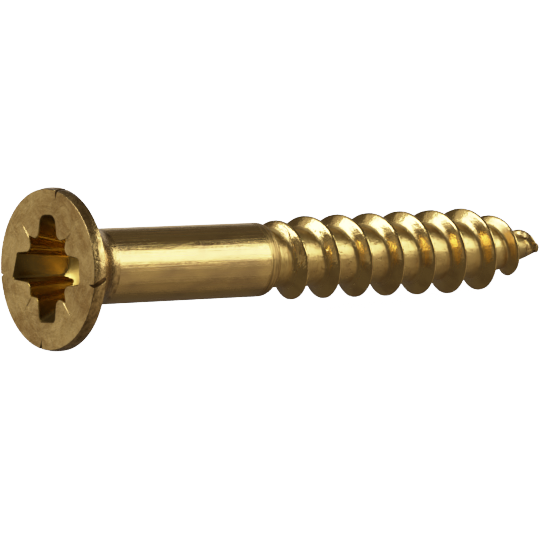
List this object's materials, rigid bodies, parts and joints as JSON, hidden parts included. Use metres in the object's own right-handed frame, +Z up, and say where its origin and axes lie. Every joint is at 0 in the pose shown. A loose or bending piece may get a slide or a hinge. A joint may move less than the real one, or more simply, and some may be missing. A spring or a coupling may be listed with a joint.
{
  "type": "brass wood screw",
  "caption": "Countersunk brass wood screw with a cross recess, a plain shank and a coarse tapering wood thread.",
  "frame": {"origin": "middle of the screw's bounding box, on the plane Z = 0 that it lies on", "axes": "+X along the length from the head to the point, +Z up; the screw's own axis dips 4.0 degrees below +X, because the rim of the head is wider than the thread"},
  "size_m": [0.03, 0.0074, 0.0074],
  "materials": {
    "brass": "solid unplated brass, satin: fine turned marks on the face of the head, drawn lines on the shank, rolled thread"
  },
  "bodies": {
    "root": {"wood_screw": "brass"}
  },
  "joints": []
}
